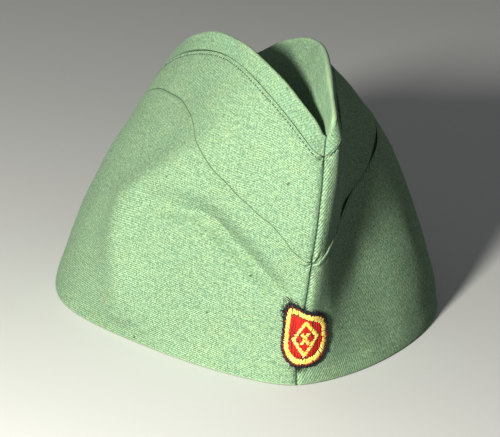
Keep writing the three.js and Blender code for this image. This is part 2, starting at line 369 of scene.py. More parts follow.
class Weaver:
    """Collects the corners and faces of one closed mesh. A corner has a place, cloth coordinates in
    millimetres and a value for worn edges, painted highlight and painted shade, and corners that are the same
    point of the mesh are welded."""

    def __init__(self) -> None:
        """Starts with no corners."""
        self.places: list[np.ndarray] = []
        self.cloth: list[np.ndarray] = []
        self.wear_and_painted_light: list[np.ndarray] = []
        self.faces: list[np.ndarray] = []
        self.welds: list[tuple[np.ndarray, np.ndarray]] = []
        self.count = 0

    def corners(self, places: np.ndarray, cloth: np.ndarray, wear_and_painted_light: np.ndarray) -> np.ndarray:
        """Adds a grid of corners.

        Args:
            places: points, in millimetres, with x, y, z along the last axis.
            cloth: coordinates on the cloth, in millimetres, with two values along the last axis.
            wear_and_painted_light: 0 to 1, one value for each corner, lighter above one half for worn edges
                and painted highlight, and darker below it for painted shade.

        Returns:
            The corners' numbers, in the grid's shape.
        """
        shape = places.shape[:-1]
        numbers = self.count + np.arange(int(np.prod(shape))).reshape(shape)
        self.places.append(places.reshape(-1, 3))
        self.cloth.append(np.broadcast_to(cloth, (*shape, 2)).reshape(-1, 2))
        self.wear_and_painted_light.append(np.broadcast_to(wear_and_painted_light, shape).reshape(-1))
        self.count += numbers.size
        return numbers

    def face(self, *corners: np.ndarray) -> None:
        """Adds faces whose corners, in order, are the numbers in the given arrays of one shape."""
        self.faces.append(np.stack([c.reshape(-1) for c in corners], axis=-1))

    def grid(self, numbers: np.ndarray) -> None:
        """Adds the four-sided faces of a grid of corners, which face along second axis cross first axis."""
        self.face(numbers[:-1, :-1], numbers[:-1, 1:], numbers[1:, 1:], numbers[1:, :-1])

    def weld(self, corners: np.ndarray, onto: np.ndarray) -> None:
        """Makes corners the same points of the mesh as those that they are welded onto."""
        self.welds.append((corners.reshape(-1), onto.reshape(-1)))

    def finish(self, name: str) -> bpy.types.Object:
        """Makes the Blender object, in metres, smooth, with the UV map cloth_mm and the attribute of worn
        edges, painted highlight and painted shade.
        """
        owner = np.arange(self.count)
        for corners, onto in self.welds:
            owner[corners] = owner[onto]
        used, vertex_of = np.unique(owner, return_inverse=True)
        loops = np.concatenate([f.reshape(-1) for f in self.faces])
        totals = np.concatenate([np.full(len(f), f.shape[1]) for f in self.faces])
        mesh = bpy.data.meshes.new(name)
        mesh.vertices.add(len(used))
        places = np.concatenate(self.places)[used] * MM
        mesh.vertices.foreach_set("co", places.astype(np.float32).reshape(-1))
        mesh.loops.add(len(loops))
        mesh.loops.foreach_set("vertex_index", vertex_of.reshape(-1)[loops].astype(np.int32))
        mesh.polygons.add(len(totals))
        starts = np.concatenate([[0], np.cumsum(totals)[:-1]])
        mesh.polygons.foreach_set("loop_start", starts.astype(np.int32))
        mesh.update(calc_edges=True)
        mesh.polygons.foreach_set("use_smooth", np.ones(len(totals), dtype=bool))
        layer = mesh.uv_layers.new(name="cloth_mm")
        cloth = np.concatenate(self.cloth)[loops].astype(np.float32)
        layer.data.foreach_set("uv", cloth.reshape(-1))
        wear_and_painted_light = mesh.attributes.new("wear_and_painted_light", "FLOAT", "POINT")
        wear_and_painted_light.data.foreach_set("value", np.concatenate(self.wear_and_painted_light)[used].astype(np.float32))
        mesh.update()
        piece = bpy.data.objects.new(name, mesh)
        bpy.context.scene.collection.objects.link(piece)
        log.info("%s: %d vertices, %d triangles", name, len(used), int((totals - 2).sum()))
        return piece


def wall(weaver: Weaver, outer: np.ndarray, inner: np.ndarray, cloth: np.ndarray, wear_and_painted_light: np.ndarray) -> None:
    """Adds a closed wall of cloth between two facing grids.

    The profile of each column goes up the outer face and back down the inner one, closed on itself, and the
    first and last profiles are closed by faces from the outer face to the inner one.

    Args:
        weaver: the mesh that the wall goes into.
        outer: points of the outer face, columns by rows.
        inner: points of the inner face, the same shape.
        cloth: coordinates of the outer face's points on the cloth.
        wear_and_painted_light: worn edges, painted highlight and painted shade of the outer face's points.
    """
    rows = outer.shape[1]
    loop = np.concatenate([outer, inner[:, ::-1], outer[:, :1]], axis=1)
    turned = cloth[:, ::-1] + np.array([0.0, BACK_SHIFT])
    around = np.concatenate([cloth, turned, turned[:, -1:]], axis=1)
    worn = np.concatenate([wear_and_painted_light, wear_and_painted_light[:, ::-1], wear_and_painted_light[:, :1]], axis=1)
    numbers = weaver.corners(loop, around, worn)
    weaver.weld(numbers[:, -1], numbers[:, 0])
    weaver.grid(numbers)
    up = np.arange(rows - 1)
    facing = 2 * rows - 1 - up
    first, last = numbers[0], numbers[-1]
    weaver.face(first[up], first[facing], first[facing - 1], first[up + 1])
    weaver.face(last[up], last[up + 1], last[facing - 1], last[facing])


def normals(points: np.ndarray) -> np.ndarray:
    """Unit normals of a grid, columns by rows, whose columns run round the cap and rows run up."""
    across = np.gradient(points, axis=0)
    upward = np.gradient(points, axis=1)
    return unit(np.cross(upward, across))


def strands(weaver: Weaver, paths: np.ndarray, up: np.ndarray, across: float, high: float,
            tone: np.ndarray) -> None:
    """Adds closed strands of thread.

    Round each point of a path lies a ring, across * cos(angle) sideways and high * sin(angle) upwards. Its
    size is the square root of 1 - t^6, with t from -1 to 1 along the strand, which makes blunt ends, and a
    point a little further on closes each end.

    Args:
        weaver: the mesh that the strands go into.
        paths: the middle lines, strands by points by x, y, z.
        up: unit vectors away from the cloth at the same points.
        across: half the thread's width.
        high: half the thread's height.
        tone: a value for each strand that shades it, kept as its wear.
    """
    count, points = paths.shape[:2]
    along = unit(np.gradient(paths, axis=1))
    sideways = unit(np.cross(along, up))
    lifted = unit(np.cross(sideways, along))
    t = np.linspace(-1.0, 1.0, points)
    size = np.sqrt(np.clip(1.0 - np.abs(t) ** 6, 0.02, 1.0))[None, :, None, None]
    corners = STRAND_SIDES + 1
    angle = np.linspace(0.0, 2 * math.pi, corners)[None, None, :, None]
    ring = (paths[:, :, None] + sideways[:, :, None] * np.cos(angle) * across * size
            + lifted[:, :, None] * np.sin(angle) * high * size)
    length = run_length(paths, 1)
    turns = np.broadcast_to(np.linspace(0.0, 2 * math.pi * across, corners), (count, points, corners))
    cloth = np.stack([np.broadcast_to(length[..., None], turns.shape), turns], axis=-1)
    shade = np.broadcast_to(tone[:, None, None], turns.shape)
    numbers = weaver.corners(ring, cloth, shade)
    weaver.weld(numbers[:, :, -1], numbers[:, :, 0])
    a, b = numbers[:, :-1, :-1], numbers[:, 1:, :-1]
    c, d = numbers[:, 1:, 1:], numbers[:, :-1, 1:]
    weaver.face(a, b, c, d)
    for end, sign in ((0, -1.0), (points - 1, 1.0)):
        tip = paths[:, end] + along[:, end] * sign * high * 0.3
        pole = weaver.corners(tip, cloth[:, end, 0], tone)
        poles = np.broadcast_to(pole[:, None], (count, STRAND_SIDES))
        if sign < 0:
            weaver.face(poles, numbers[:, end, :-1], numbers[:, end, 1:])
        else:
            weaver.face(poles, numbers[:, end, 1:], numbers[:, end, :-1])


@dataclass(frozen=True)
class Pattern:
    """A noise pattern: its scale, detail and roughness, and how the coordinates that it reads are turned
    round the third axis, scaled and moved."""

    scale: float
    detail: float
    rough: float = 0.5
    turn: float = 0.0
    stretch: tuple[float, float, float] = (1.0, 1.0, 1.0)
    place: tuple[float, float, float] = (0.0, 0.0, 0.0)


class Nodes:
    """A material's node tree, with short calls that add a node and join it."""

    def __init__(self, name: str) -> None:
        """Starts a new material with a Principled shader and its output."""
        self.material = bpy.data.materials.new(name)
        self.material.use_nodes = True
        self.tree = self.material.node_tree
        self.shader = self.tree.nodes["Principled BSDF"]

    def add(self, kind: str, inputs: dict[str | int, object] | None = None,
            **settings: object) -> bpy.types.Node:
        """Adds a node.

        Args:
            kind: the node's type without its leading ShaderNode.
            inputs: values or output sockets for its inputs, by name or number.
            settings: the node's own settings.

        Returns:
            The node.
        """
        node = self.tree.nodes.new("ShaderNode" + kind)
        for setting, value in settings.items():
            setattr(node, setting, value)
        for key, value in (inputs or {}).items():
            self.put(node.inputs[key], value)
        return node

    def put(self, socket: bpy.types.NodeSocket, value: object) -> None:
        """Sets a socket to a value, or joins it to an output. A colour may be given without its alpha."""
        if isinstance(value, bpy.types.NodeSocket):
            self.tree.links.new(value, socket)
        elif socket.type == "RGBA":
            socket.default_value = (*value, 1.0)
        else:
            socket.default_value = value

    def surface(self, values: dict[str, object]) -> None:
        """Sets or joins the shader's own sockets, by name."""
        for name, value in values.items():
            self.put(self.shader.inputs[name], value)

    def cloth(self) -> bpy.types.NodeSocket:
        """Coordinates on the cloth, in millimetres."""
        return self.add("UVMap", uv_map="cloth_mm").outputs[0]

    def wear_and_painted_light(self) -> bpy.types.NodeSocket:
        """How worn the surface is, with its painted highlight and painted shade, or the tone of a strand."""
        return self.add("Attribute", attribute_name="wear_and_painted_light").outputs["Fac"]

    def math(self, operation: str, first: object, second: object) -> bpy.types.NodeSocket:
        """The output of a Math node."""
        return self.add("Math", {0: first, 1: second}, operation=operation).outputs[0]

    def mapped(self, source: bpy.types.NodeSocket, pattern: Pattern) -> bpy.types.NodeSocket:
        """Coordinates as a pattern reads them."""
        inputs = {"Vector": source, "Location": pattern.place, "Rotation": (0.0, 0.0, pattern.turn),
                  "Scale": pattern.stretch}
        return self.add("Mapping", inputs).outputs[0]

    def noise(self, source: bpy.types.NodeSocket, pattern: Pattern) -> bpy.types.NodeSocket:
        """The value of a noise pattern."""
        inputs = {"Vector": self.mapped(source, pattern), "Scale": pattern.scale, "Detail": pattern.detail,
                  "Roughness": pattern.rough}
        return self.add("TexNoise", inputs).outputs["Fac"]

    def bands(self, source: bpy.types.NodeSocket, pitch: float, turn: float, distortion: float,
              detail: float, detail_scale: float = 1.0) -> bpy.types.NodeSocket:
        """The value of slanting waves.

        Args:
            source: coordinates on the cloth, in millimetres.
            pitch: distance from wave to wave.
            turn: how far the waves are turned from upright.
            distortion: how far they wander.
            detail: how many finer wanders are added.
            detail_scale: how fine those are.

        Returns:
            The value, 0 to 1.
        """
        turned = self.mapped(source, Pattern(1.0, 0.0, turn=turn))
        inputs = {"Vector": turned, "Scale": math.pi / (10 * pitch), "Distortion": distortion,
                  "Detail": detail, "Detail Scale": detail_scale}
        return self.add("TexWave", inputs, bands_direction="X").outputs["Fac"]

    def spread(self, value: bpy.types.NodeSocket, start: float, full: float,
               share: float = 1.0) -> bpy.types.NodeSocket:
        """The value as a smooth step: 0 at start and share at full, and no further."""
        inputs = {"Value": value, "From Min": start, "From Max": full, "To Min": 0.0, "To Max": share}
        return self.add("MapRange", inputs, interpolation_type="SMOOTHSTEP").outputs["Result"]

    def tone(self, *parts: tuple[bpy.types.NodeSocket, float]) -> bpy.types.NodeSocket:
        """One half plus each part's weight times the part's distance from one half."""
        total: object = 0.5 - 0.5 * sum(weight for _, weight in parts)
        for value, weight in parts:
            total = self.add("Math", {0: value, 1: weight, 2: total}, operation="MULTIPLY_ADD").outputs[0]
        return total

    def mix(self, share: object, first: object, second: object) -> bpy.types.NodeSocket:
        """The colour between two colours."""
        node = self.add("Mix", data_type="RGBA", blend_type="MIX")
        self.put(node.inputs[0], share)
        self.put(node.inputs[6], first)
        self.put(node.inputs[7], second)
        return node.outputs[2]

    def over(self, colour: object, laid: object, value: bpy.types.NodeSocket, start: float, full: float,
             share: float = 1.0) -> bpy.types.NodeSocket:
        """A colour with another laid over it: none where the value is start, and share where it is full."""
        return self.mix(self.spread(value, start, full, share), colour, laid)

    def height(self, height: bpy.types.NodeSocket, strength: float, distance: float) -> None:
        """Gives the shader a bumpy surface from a height."""
        bump = self.add("Bump", {"Height": height, "Strength": strength, "Distance": distance})
        self.put(self.shader.inputs["Normal"], bump.outputs[0])


# Patterns of the twill
RIB_TURN = math.radians(-50.0)
GRAIN = Pattern(1.9, 2.0, 0.55, RIB_TURN, (1.0, 0.55, 1.0))
YARN = Pattern(0.6, 2.0, 0.6, RIB_TURN, (1.0, 0.6, 1.0), (31.0, 17.0, 5.0))
SLUB = Pattern(1.3, 1.0, 0.5, 0.0, (0.11, 1.0, 1.0), (5.0, 11.0, 3.0))
HUE = Pattern(0.8, 3.0, 0.65, turn=0.3, place=(7.0, 3.0, 2.0))
MOTTLE = Pattern(0.12, 3.0, 0.6, turn=0.3, place=(17.0, 9.0, 4.0))
BLOTCH = Pattern(30.0, 2.0)


@dataclass(frozen=True)
class TwillFinish:
    """Wool-blend twill: diagonal ribs broken into grains, mottled yarn, blotches, specks, worn edges with
    painted highlight, and painted shade in seams and creases.
    """

    name: str
    body: tuple[float, float, float] = (0.262, 0.39, 0.242)
    light: tuple[float, float, float] = (0.5, 0.64, 0.4)
    dark: tuple[float, float, float] = (0.105, 0.175, 0.108)
    blue: tuple[float, float, float] = (0.215, 0.365, 0.255)
    straw: tuple[float, float, float] = (0.37, 0.45, 0.235)
    speck: tuple[float, float, float] = (0.03, 0.04, 0.026)
    # painted shade: the colour laid into the seams, beside the curtain's edge, along the crease and in the
    # needle holes
    painted_shade: tuple[float, float, float] = (0.018, 0.052, 0.036)
    sheen_tint: tuple[float, float, float] = (0.72, 0.9, 0.72)
    rib_pitch: float = 0.84
    rib_weight: float = 0.72
    grain_weight: float = 1.9
    yarn_weight: float = 0.6
    slub_weight: float = 0.35
    hue_weight: float = 1.2
    mottle_weight: float = 1.1
    lint_scale: float = 0.3
    speck_scale: float = 0.1
    speck_share: float = 0.7
    roughness: float = 0.92
    sheen: float = 0.12
    relief: float = 0.2          # height of the ribs and grains as a bump, with the share of each
    rib_relief: float = 0.14
    grain_relief: float = 1.6

    def make(self) -> bpy.types.Material:
        """Makes the material. Its patterns read the cloth coordinates, but for the blotches, which read the
        place in the object. Above one half the mesh's value lightens the cloth for worn edges and painted
        highlight, and below one half it darkens the cloth with painted shade.

        Returns:
            The material.
        """
        kit = Nodes(self.name)
        cloth = kit.cloth()
        wear_and_painted_light = kit.wear_and_painted_light()
        rib = kit.bands(cloth, self.rib_pitch, RIB_TURN, 1.1, 2.0, 1.4)
        grain = kit.noise(cloth, GRAIN)
        tone = kit.tone((grain, self.grain_weight), (kit.noise(cloth, YARN), self.yarn_weight),
                        (kit.noise(cloth, SLUB), self.slub_weight), (rib, self.rib_weight))
        tint = kit.tone((kit.noise(cloth, HUE), self.hue_weight),
                        (kit.noise(cloth, MOTTLE), self.mottle_weight))
        blotch = kit.noise(kit.add("TexCoord").outputs["Object"], BLOTCH)
        lint = kit.add("TexVoronoi", {"Vector": cloth, "Scale": self.lint_scale}).outputs["Distance"]
        colour = kit.over(self.blue, self.body, tint, 0.0, 0.8)
        colour = kit.over(colour, self.straw, tint, 0.55, 1.1, 0.5)
        colour = kit.over(colour, self.dark, blotch, 0.4, 0.7, 0.15)
        colour = kit.over(colour, self.light, tone, 0.45, 1.15)
        colour = kit.over(colour, self.dark, tone, 0.55, -0.1)
        colour = kit.over(colour, self.light, lint, 0.07, 0.03, 0.7)
        colour = kit.mix(self.specks(kit, cloth), colour, self.speck)
        # Lighter where worn and as painted highlight on the curtain's edges, darker below one half as painted
        # shade
        colour = kit.over(colour, self.light, wear_and_painted_light, 0.5, 1.0, 0.55)
        colour = kit.over(colour, self.painted_shade, wear_and_painted_light, 0.5, 0.0, 0.85)
        kit.surface({"Base Color": colour, "Roughness": self.roughness, "Specular IOR Level": 0.2,
                     "Sheen Weight": self.sheen, "Sheen Roughness": 0.5, "Sheen Tint": self.sheen_tint})
        bumps = kit.tone((rib, self.rib_relief * self.rib_weight), (grain, self.grain_relief))
        kit.height(bumps, 0.6, self.relief * MM)
        return kit.material

    def specks(self, kit: Nodes, cloth: bpy.types.NodeSocket) -> bpy.types.NodeSocket:
        """Share of dark specks: small dots in those cells of a pattern whose own colour is redder."""
        dots = kit.add("TexVoronoi", {"Vector": cloth, "Scale": self.speck_scale})
        near = kit.spread(dots.outputs["Distance"], 0.085, 0.03)
        red = kit.add("SeparateColor", {0: dots.outputs["Color"]}).outputs[0]
        chosen = kit.spread(red, 0.62, 0.66)
        return kit.math("MULTIPLY", kit.math("MULTIPLY", near, chosen), self.speck_share)


@dataclass(frozen=True)
class ThreadFinish:
    """Sewing or embroidery thread: two plies twisted together, shaded from strand to strand."""

    name: str
    colour: tuple[float, float, float]
    shade: tuple[float, float, float]
    gloss: float
    ply_pitch: float = 0.55
    ply_turn: float = math.radians(35.0)
    fibre: Pattern = Pattern(2.2, 2.0, stretch=(1.0, 5.0, 1.0))
    relief: float = 0.08         # height of the plies as a bump

    def make(self) -> bpy.types.Material:
        """Makes the material. Each strand's tone is kept as its wear, and the plies are slanting waves."""
        kit = Nodes(self.name)
        cloth = kit.cloth()
        ply = kit.bands(cloth, self.ply_pitch, self.ply_turn, 0.4, 1.0)
        fibre = kit.noise(cloth, self.fibre)
        colour = kit.over(self.shade, self.colour, kit.wear_and_painted_light(), 0.0, 1.0)
        colour = kit.over(colour, self.shade, ply, 0.35, 0.0, 0.35)
        colour = kit.over(colour, self.shade, fibre, 0.42, 0.25, 0.5)
        kit.surface({"Base Color": colour, "Roughness": 1.0 - self.gloss, "Specular IOR Level": 0.35,
                     "Sheen Weight": 0.2})
        kit.height(kit.math("ADD", ply, kit.math("MULTIPLY", fibre, 0.5)), 0.5, self.relief * MM)
        return kit.material


SEAM_THREAD = ThreadFinish("sage_thread", (0.08, 0.115, 0.075), (0.03, 0.045, 0.03), 0.3)
BLACK_THREAD = ThreadFinish("black_thread", (0.02, 0.021, 0.026), (0.005, 0.005, 0.007), 0.5)
RED_THREAD = ThreadFinish("red_thread", (0.78, 0.035, 0.02), (0.42, 0.012, 0.008), 0.5)
GOLD_THREAD = ThreadFinish("gold_thread", (1.0, 0.94, 0.34), (0.95, 0.64, 0.06), 0.6)


@dataclass(frozen=True)
class FloorFinish:
    """Plain pale floor, a little uneven in tone."""

    name: str = "pale_floor"
    pale: tuple[float, float, float] = (0.72, 0.72, 0.7)
    darker: float = 0.94         # share of the pale tone that the darkest patches have
    cloud: Pattern = Pattern(3.0, 2.0)
    roughness: float = 0.85

    def make(self) -> bpy.types.Material:
        """Makes the material."""
        kit = Nodes(self.name)
        cloud = kit.noise(kit.add("TexCoord").outputs["Object"], self.cloud)
        darker = tuple(self.darker * part for part in self.pale)
        kit.surface({"Base Color": kit.mix(cloud, self.pale, darker), "Roughness": self.roughness})
        return kit.material


def dress(piece: bpy.types.Object, material: bpy.types.Material, slot: str, *nodes: str) -> None:
    """Gives a piece its material and its body, and hides the solids that it stands for."""
    piece.data.materials.append(material)
    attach(piece, BODY)
    if nodes:
        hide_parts(*nodes)


@dataclass(frozen=True)
class Lip:
    """How cloth meets a seam: the height and width of the band that lies over the seam allowance, and the
    reach and depth of its roll into the seam."""

    height: float
    width: float
    reach: float
    depth: float


# At the rear seam, and at the front seam on the right and on the left half
REAR_LIP = Lip(0.3, 3.4, 1.7, 0.95)
RIGHT_LIP = Lip(0.1, 3.4, 3.0, 1.1)
LEFT_LIP = Lip(0.1, 3.4, 2.6, 1.1)


@dataclass
class HalfWall:
    """What the curtain and the side panel of one half share: their columns from seam to seam, the curtain's
    edge, the soft outer face and the relief beside the seams."""

    form: CapForm
    half: Half
    fine_column: float = 0.12
    coarse_column: float = 0.85
    column_reach: float = 3.0
    column_level: float = 0.35   # height v at which the distances between columns are measured
    pucker: float = 0.19
    pucker_pitch: float = 2.7
    pucker_reach: float = 4.6
    knot: float = 0.8            # of the folds that run out from where another seam crosses
    knot_reach: float = 2.3
    knot_folds: float = 5.0      # how many of them a whole turn would hold
    edge_wave: float = 0.28      # how far the curtain's edge wanders

    def dense(self) -> np.ndarray:
        """Places u from seam to seam, close enough together to measure lengths along them."""
        return self.half.value + np.linspace(0.0, HALF_COUNT, DENSE)

    def columns(self) -> np.ndarray:
        """Places u of the columns, close together at the two seams."""
        dense = self.dense()
        reach = run_length(self.form.side(dense, np.full_like(dense, self.column_level)), 0)
        spots = graded(reach[-1], self.fine_column, self.coarse_column, self.column_reach)
        return np.interp(spots, reach, dense)

    def edge(self, u: np.ndarray) -> np.ndarray:
        """Height v of the curtain's upper edge, which wanders a little as a hand-pressed edge does."""
        wander = sway(u, (1.0, 1 / 5.3, 0.7), (0.6, 1 / 11.9, 2.0))
        return self.form.value("curtain", u) + self.edge_wave * wander / self.form.height(u)

    def gape(self, u: np.ndarray) -> np.ndarray:
        """How loose the curtain's edge is, 0 to 1: a bell curve round each place where it stands off."""
        return sum(bell(round_from(middle, u), reach) for middle, reach in GAPES)

    def base(self, u: np.ndarray, v: np.ndarray) -> np.ndarray:
        """Points of the outer face with the soft forms, its ends drawn apart by the lips' gap."""
        points = self.form.side(u, v) + self.form.outward(u, v) * self.form.softness(u, v)[..., None]
        along = unit(self.form.side(u + SMALL_STEP, v) - self.form.side(u - SMALL_STEP, v))
        points[0] += along[0] * LIP_GAP / 2
        points[-1] -= along[-1] * LIP_GAP / 2
        return points

    def seam_relief(self, first: np.ndarray, last: np.ndarray, up: np.ndarray,
                    crossings: tuple[np.ndarray, ...]) -> np.ndarray:
        """Relief beside the front and rear seams.

        The cloth rolls down into the seam, lies a little higher over the seam allowances, and has short
        puckers across it, which are sine waves up the seam with a slow wander, fading with distance. Folds
        run out from each crossing with another seam: cosine waves of the angle round it, in a ring.

        Args:
            first: distance from the half's first seam.
            last: distance from its last seam.
            up: length up the cloth from the rim.
            crossings: for each crossing seam, the length up the cloth past it.

        Returns:
            How far the outer face stands out.
        """
        first_lip, last_lip = (REAR_LIP, LEFT_LIP) if self.half is Half.LEFT else (RIGHT_LIP, REAR_LIP)
        near = np.minimum(first, last)
        wander = sway(up, (0.9, 7.3, 1.0), (0.6, 2.9, self.half.value))
        wave = np.sin(2 * math.pi * up / self.pucker_pitch + wander + near * 0.5)
        strength = self.pucker * (0.6 + sway(up, (0.4, 5.1, 2.0 + self.half.value)))
        relief = self.lip(first, first_lip) + self.lip(last, last_lip)
        relief = relief + strength * wave * bell(near, self.pucker_reach) * smooth(0.0, 0.8, near)
        for past in crossings:
            away = np.hypot(near, past) - self.knot_reach
            folds = np.cos(self.knot_folds * np.arctan2(past, near) + 0.6)
            relief = relief + self.knot * folds * bell(away, self.knot_reach) * smooth(0.0, 1.0, near)
        return relief

    def lip(self, near: np.ndarray, lip: Lip) -> np.ndarray:
        """Relief beside one seam at the distances near: the band, which ends by a smooth step from 0.7 to
        1.4 of its width, less the roll into the seam."""
        band = lip.height * (1.0 - smooth(lip.width * 0.7, lip.width * 1.4, near))
        return band - rolled(near, lip.reach, lip.depth)

    def nap(self, shape: tuple[int, ...]) -> np.ndarray:
        """Uneven height of the napped cloth, from point to point."""
        return np.random.default_rng(SEED + self.half.value).normal(0.0, NAP, shape)

    def cloth_grid(self, points: np.ndarray) -> tuple[np.ndarray, np.ndarray, np.ndarray, np.ndarray]:
        """Measures a grid of points.

        Returns:
            The distance from the first seam, from the last seam, the length up the cloth, and the cloth
            coordinates, which start at the middle column of the half.
        """
        first = run_length(points, 0)
        last = first[-1:] - first
        up = run_length(points, 1)
        middle = first[first.shape[0] // 2][None]
        return first, last, up, np.stack([first - middle, up], axis=-1)


@dataclass
class SidePanel(HalfWall):
    """One side of the crown, from the rim under the curtain to the ridge seam, with its topstitching."""

    hidden_rows: int = 8
    edge_rows: int = 11
    open_rows: int = 48
    edge_reach: float = 2.0      # of the close rows on either side of the curtain's edge
    stitched_band: float = 5.0
    ridge_lip: float = 0.3
    allowance: float = 0.2
    pressed: float = 1.0         # how far the panel comes out beside the curtain's edge
    slack: float = 0.8           # share of that which is missing where the curtain's edge is loose
    thread_width: float = 0.4
    stitch_margin: float = 1.5   # from the seams to the first and last stitch
    stitch_length: float = 1.25
    stitch_points: int = 7
    stitch_level: float = 0.97   # about the height v of the stitches
    stitch_rise: float = 0.16
    stitch_sunk: float = 0.2     # how deep a stitch's ends lie
    line_depth: float = 0.1      # of the line that the stitches press in
    dimple_depth: float = 0.28   # where a stitch goes down

    def rows(self, u: np.ndarray) -> tuple[np.ndarray, np.ndarray, np.ndarray]:
        """Places the rows.

        Returns:
            Their heights v, columns by rows, how far above the curtain's edge they are, 0 to 1, and the same
            in millimetres.
        """
        height = self.form.height(u)[:, None]
        edge = self.edge(u)[:, None]
        band = graded(self.stitched_band, fine=0.1, coarse=0.42, reach=1.0, both_ends=False)[::-1]
        upper = 1.0 - LIP_GAP / 2 / height - band[None, :] / height
        start, end = edge - self.edge_reach / height, edge + self.edge_reach / height
        low = np.linspace(0.0, 1.0, self.hidden_rows + 1)[None, :-1] * start
        close = start + (end - start) * np.linspace(0.0, 1.0, self.edge_rows + 1)[None, :-1]
        middle = end + (upper[:, :1] - end) * np.linspace(0.0, 1.0, self.open_rows + 1)[None, :-1]
        v = np.concatenate([low, close, middle, upper], axis=1)
        above = np.clip((v - edge) / (1.0 - edge), 0.0, 1.0)
        return v, above, (v - edge) * height

    def depth(self, u: np.ndarray, above: np.ndarray, past: np.ndarray) -> np.ndarray:
        """How far the panel lies inside the cap's outer face. Under the curtain it leaves room for it,
        beside the curtain's edge it comes out by a smooth step, less where the edge is loose, and above the
        edge the depth falls off as (1 - above)^2."""
        step = self.pressed * (1.0 - self.slack * self.gape(u)) * smooth(-1.0, 0.7, past)
        return (CLOTH + LAYER_GAP - step) * (1.0 - above) ** 2

    def stitches(self) -> tuple[np.ndarray, np.ndarray]:
        """Places of the stitches' points.

        Returns:
            u and v, stitches by points, along a line a set drop below the ridge seam.
        """
        dense = self.dense()
        reach = run_length(self.form.side(dense, 1.0 - STITCH_DROP / self.form.height(dense)), 0)
        count = int((reach[-1] - 2 * self.stitch_margin) / STITCH_PITCH)
        start = self.stitch_margin + STITCH_PITCH * np.arange(count)
        spots = start[:, None] + np.linspace(0.0, self.stitch_length, self.stitch_points)[None, :]
        u = np.interp(spots, reach, dense)
        return u, 1.0 - STITCH_DROP / self.form.height(u)

    def build(self) -> bpy.types.Object:
        """Builds the panel's wall with its relief."""
        u_line = self.columns()
        v, above, past = self.rows(u_line)
        u = np.broadcast_to(u_line[:, None], v.shape)
        plain = self.base(u, v)
        out = self.form.outward(u, v)
        face = plain - out * self.depth(u, above, past)[..., None]
        first, last, up, cloth = self.cloth_grid(face)
        below = up[:, -1:] - up
        relief = self.seam_relief(first, last, up, (-below, past)) + self.ridge_relief(u, below)
        relief = (relief + self.nap(up.shape)) * smooth(0.0, 2.0, up)
        outer = face + normals(face) * relief[..., None]
        inner = face - out * CLOTH
        # Painted shade at the front and rear seams, under the ridge seam and beside the curtain's edge,
        # darker where that edge stands off
        groove = np.minimum(np.minimum(first, last) / 0.55, 0.45 + below / 0.5)
        shaded = bell(past - 0.1, 0.38) + self.gape(u) * bell(past - 0.3, 0.6)
        wear_and_painted_light = np.clip(groove, 0.0, 1.0) * (0.5 - 0.4 * np.clip(shaded, 0.0, 1.0))
        weaver = Weaver()
        wall(weaver, outer, inner, cloth, wear_and_painted_light)
        return weaver.finish(f"side_cloth_{self.half.side}")

    def ridge_relief(self, u: np.ndarray, below: np.ndarray) -> np.ndarray:
        """Relief under the ridge seam: a rounded lip, a slightly raised band down to the stitching, the line
        that the stitches press in, and a dimple where each stitch goes down."""
        u_stitch, _ = self.stitches()
        ends = u_stitch[:, [0, -1]].reshape(-1)
        columns = u[:, :1]
        level = np.full_like(columns, self.stitch_level)
        step = self.form.side(columns + SMALL_STEP, level) - self.form.side(columns - SMALL_STEP, level)
        speed = np.linalg.norm(step, axis=-1) / (2 * SMALL_STEP)
        away = np.abs(columns - ends[None, :]).min(axis=1, keepdims=True) * speed
        band = self.allowance * (1.0 - smooth(STITCH_DROP - 0.5, STITCH_DROP + 0.2, below))
        line = self.line_depth * bell(below - STITCH_DROP, 0.55)
        dimple = self.dimple_depth * bell(below - STITCH_DROP, 0.5) * bell(away, 0.5)
        return band - line - dimple - rounded(below, self.ridge_lip)

    def build_stitches(self) -> bpy.types.Object:
        """Builds the topstitching as short strands that arch over the cloth between two needle holes."""
        u, v = self.stitches()
        arch = np.sin(math.pi * np.linspace(0.0, 1.0, self.stitch_points))[None, :]
        lift = self.stitch_rise * arch - self.stitch_sunk + self.form.softness(u, v)
        out = self.form.outward(u, v)
        paths = self.form.side(u, v) + out * lift[..., None]
        tone = np.random.default_rng(SEED + self.half.value).uniform(0.2, 1.0, len(u))
        weaver = Weaver()
        strands(weaver, paths, out, self.thread_width / 2, self.thread_width / 2, tone)
        return weaver.finish(f"topstitch_{self.half.side}")


